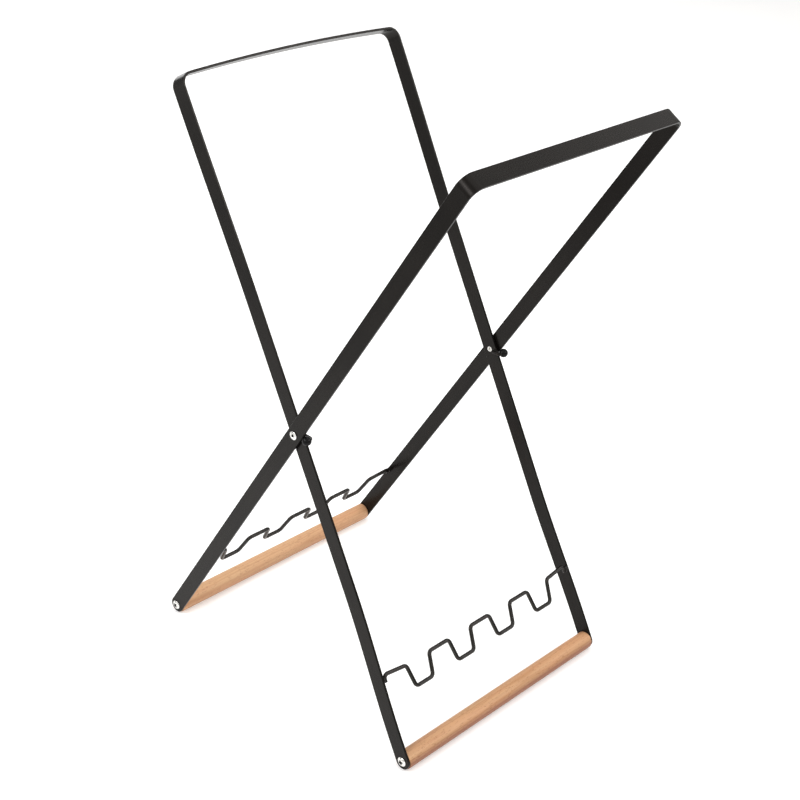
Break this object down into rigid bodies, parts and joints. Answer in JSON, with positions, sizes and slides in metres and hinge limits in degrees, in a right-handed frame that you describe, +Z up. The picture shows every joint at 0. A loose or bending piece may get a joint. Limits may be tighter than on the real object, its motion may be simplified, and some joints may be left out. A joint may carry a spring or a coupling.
{
  "type": "magazine rack",
  "caption": "Folding X-frame rack of flat black steel bar, pivoted at mid height, with wooden foot dowels and a notched wire across each pair of legs.",
  "frame": {"origin": "on the floor, at the centre of the footprint's box with the rack open", "axes": "+Z up, +X from the outer frame's foot to the inner frame's foot, Y along the dowels and the pivot axis"},
  "size_m": [0.4398, 0.35, 0.7173],
  "materials": {
    "black_powder_coat": "satin",
    "oiled_beech": "satin",
    "nickel_plate": "polished",
    "nylon": "matte",
    "gloss_black_plastic": "gloss"
  },
  "bodies": {
    "outer_frame_body": {"outer_frame": "black_powder_coat", "outer_dowel": "oiled_beech", "outer_notched_wire": "black_powder_coat", "outer_dowel_screw_near": "nickel_plate", "outer_dowel_screw_far": "nickel_plate"},
    "inner_frame_body": {"inner_frame": "black_powder_coat", "inner_dowel": "oiled_beech", "inner_notched_wire": "black_powder_coat", "inner_dowel_screw_near": "nickel_plate", "inner_dowel_screw_far": "nickel_plate", "pivot_bolt_near": "nickel_plate", "pivot_washer_near": "nylon", "pivot_nut_near": "nickel_plate", "stop_pin_near": "black_powder_coat", "stop_ball_near": "gloss_black_plastic", "pivot_bolt_far": "nickel_plate", "pivot_washer_far": "nylon", "pivot_nut_far": "nickel_plate", "stop_pin_far": "black_powder_coat", "stop_ball_far": "gloss_black_plastic"}
  },
  "joints": [
    {"name": "fold", "type": "hinge", "parent": "outer_frame_body", "child": "inner_frame_body", "pos_m": [-0.00177, 0, 0.34911], "axis": [0, 1, 0], "range_deg": [0, 55.5]}
  ]
}
